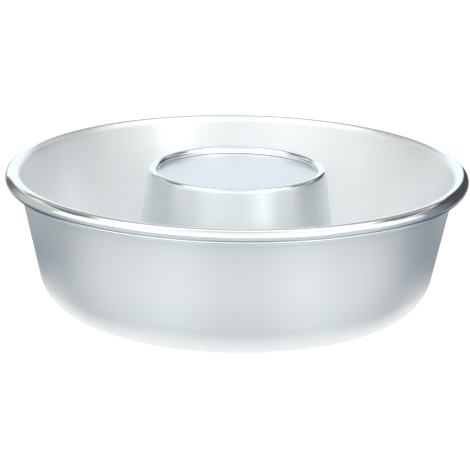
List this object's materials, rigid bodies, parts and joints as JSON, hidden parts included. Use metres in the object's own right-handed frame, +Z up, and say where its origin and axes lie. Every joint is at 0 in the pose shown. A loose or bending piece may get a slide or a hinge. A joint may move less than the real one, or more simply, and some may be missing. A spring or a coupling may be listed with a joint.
{
  "type": "ring cake pan",
  "caption": "Round ring cake pan of satin aluminium with sloping wall, rounded bottom corner, wired rolled rim and a closed conical hub with a recessed cap.",
  "frame": {"origin": "centre of the underside, on the plane the pan stands on", "axes": "+Z up along the pan's axis of turning; +Y points away from the viewer who faces the front; +X to the viewer's right"},
  "size_m": [0.254, 0.254, 0.077],
  "materials": {
    "satin_aluminium": "satin, spun, with fine rings round the axis",
    "satin_cap": "satin, faced, a little smoother than the walls",
    "galvanised_wire": "drawn and galvanised"
  },
  "bodies": {
    "root": {"pan_body": "satin_aluminium", "rim_wire": "galvanised_wire", "centre_cone": "satin_aluminium", "hub_cap": "satin_cap"}
  },
  "joints": []
}
